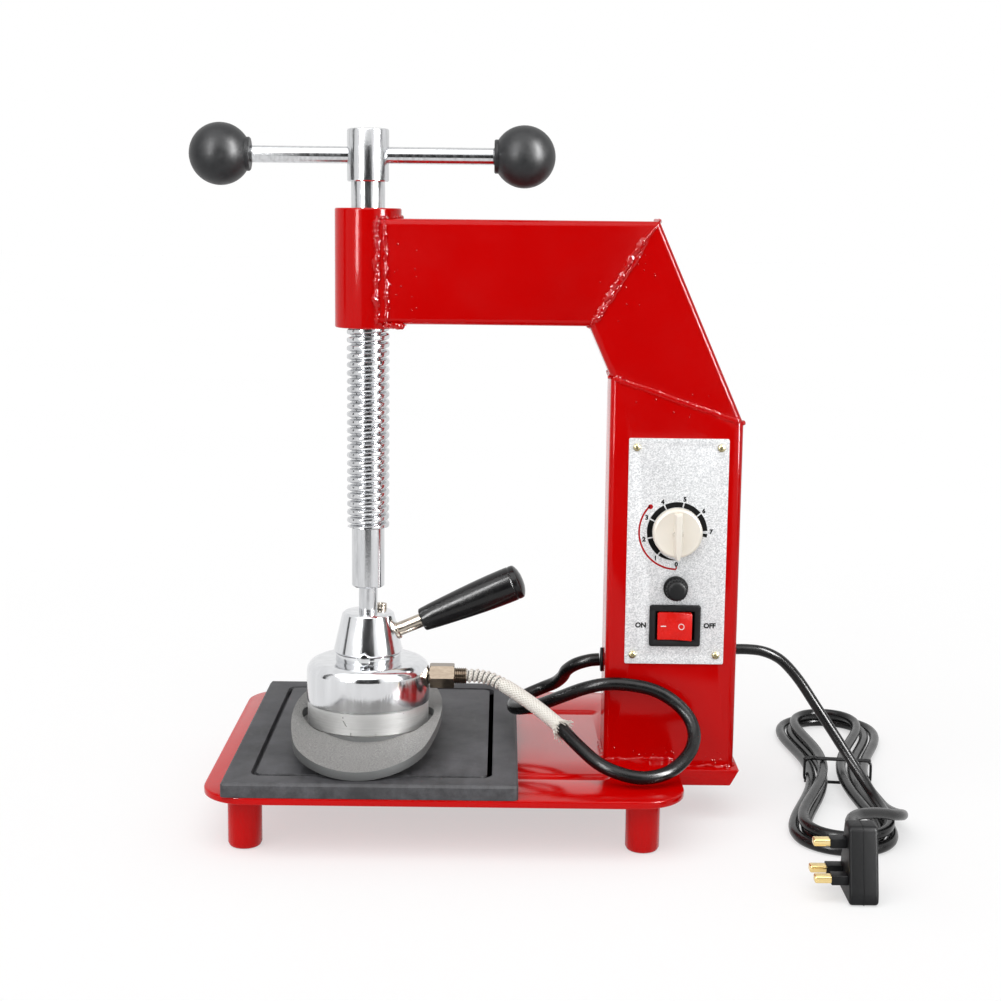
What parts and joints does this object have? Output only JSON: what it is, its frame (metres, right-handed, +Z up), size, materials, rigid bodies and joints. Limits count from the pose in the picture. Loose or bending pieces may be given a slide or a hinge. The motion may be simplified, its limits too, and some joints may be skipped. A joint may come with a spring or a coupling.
{
  "type": "tyre vulcanizer press",
  "caption": "Bench-top screw press on a welded tube frame, with a heated swivel head over a rubber pad and a timer panel, for curing tyre patches.",
  "frame": {"origin": "on the floor under the middle of the press's outline, leads left out", "axes": "+Z up along the screw, +X from the screw to the column, the control panel faces -Y"},
  "size_m": [0.4571, 0.361, 0.4185],
  "materials": {
    "red_paint": "gloss red paint",
    "chrome_plate": "polished chrome",
    "nickel_plate": "nickel plate",
    "cast_aluminium": "sand-cast, tumbled",
    "machined_aluminium": "turned",
    "pad_rubber": "moulded black rubber",
    "knob_plastic": "matt black phenolic",
    "black_plastic": "gloss black",
    "ivory_plastic": "ivory",
    "red_plastic": "translucent red",
    "white_plastic": "natural nylon",
    "panel_aluminium": "sparkle silver print",
    "zinc_steel": "zinc plate",
    "black_steel": "black oxide",
    "bronze": "bronze",
    "brass": "bright brass",
    "cord_pvc": "black flexible PVC",
    "glass_fibre": "woven white sleeve",
    "fuse_glass": "clear",
    "mica": "mica and resistance wire"
  },
  "bodies": {
    "frame": {"base_plate": "red_paint", "foot_front_left": "red_paint", "foot_front_right": "red_paint", "foot_rear_left": "red_paint", "foot_rear_right": "red_paint", "rubber_pad": "pad_rubber", "column_foot_bar": "red_paint", "column_tube": "red_paint", "brace_tube": "red_paint", "arm_tube": "red_paint", "nut_tube": "red_paint", "panel_plate": "panel_aluminium", "panel_screws": "zinc_steel", "timer_body": "zinc_steel", "fuse_holder": "black_plastic", "fuse_nut": "zinc_steel", "switch_body": "black_plastic", "terminal_block": "white_plastic", "lead_grommet": "cord_pvc", "mains_grommet": "cord_pvc", "heater_lead": "cord_pvc", "mains_lead": "cord_pvc", "mains_hank": "cord_pvc", "hank_tie": "cord_pvc", "plug_body": "black_plastic", "plug_pins": "brass", "plug_pin_sleeves": "black_plastic"},
    "carriage": {"thrust_washer": "bronze"},
    "screw": {"press_screw": "chrome_plate"},
    "tommy_bar": {"handle_bar": "chrome_plate", "ball_knob_left": "knob_plastic", "ball_knob_right": "knob_plastic"},
    "head": {"head_cone": "chrome_plate", "cone_clamp_screw": "nickel_plate", "pin_set_screw": "black_steel", "grip_stud": "nickel_plate", "head_grip": "knob_plastic", "head_stud": "zinc_steel", "heater_cup": "chrome_plate", "heater_block": "machined_aluminium", "heater_element": "mica", "thermostat": "black_plastic", "arc_plate": "cast_aluminium", "arc_plate_screws": "zinc_steel", "lead_gland": "nickel_plate", "heater_sleeve": "glass_fibre"},
    "timer": {"timer_shaft": "zinc_steel", "timer_knob": "ivory_plastic"},
    "rocker": {"switch_rocker": "red_plastic"},
    "fuse": {"fuse_link": "fuse_glass"},
    "fuse_cap": {"fuse_cap": "black_plastic"}
  },
  "joints": [
    {"name": "screw_turn", "type": "hinge", "parent": "carriage", "child": "screw", "pos_m": [-0.06125, -0.016, 0.3], "axis": [0, 0, 1], "range_deg": [0, 7920]},
    {"name": "press_travel", "type": "slide", "parent": "frame", "child": "carriage", "axis": [0, 0, 1], "range_m": [0, 0.1101], "deforming": ["heater_lead", "heater_sleeve"]},
    {"name": "bar_slide", "type": "slide", "parent": "screw", "child": "tommy_bar", "axis": [1, 0, 0], "range_m": [-0.062, 0.057]},
    {"name": "head_swivel", "type": "hinge", "parent": "carriage", "child": "head", "pos_m": [-0.06125, -0.016, 0.11], "axis": [0, 0, 1], "range_deg": [-40, 40], "deforming": ["heater_lead", "heater_sleeve"]},
    {"name": "timer_turn", "type": "hinge", "parent": "frame", "child": "timer", "pos_m": [0.12625, -0.038, 0.1785], "axis": [0, 1, 0], "range_deg": [0, 275]},
    {"name": "switch_rock", "type": "hinge", "parent": "frame", "child": "rocker", "pos_m": [0.12625, -0.0395, 0.121], "axis": [0, 0, 1], "range_deg": [0, 16]},
    {"name": "fuse_pull", "type": "slide", "parent": "frame", "child": "fuse", "axis": [0, -1, 0], "range_m": [0, 0.04]},
    {"name": "fuse_twist", "type": "hinge", "parent": "fuse", "child": "fuse_cap", "pos_m": [0.12625, -0.04, 0.144], "axis": [0, -1, 0], "range_deg": [0, 60]}
  ],
  "couplings": [
    {"joint": "press_travel", "follows": "screw_turn", "m_per_rad": 0.00079577}
  ]
}
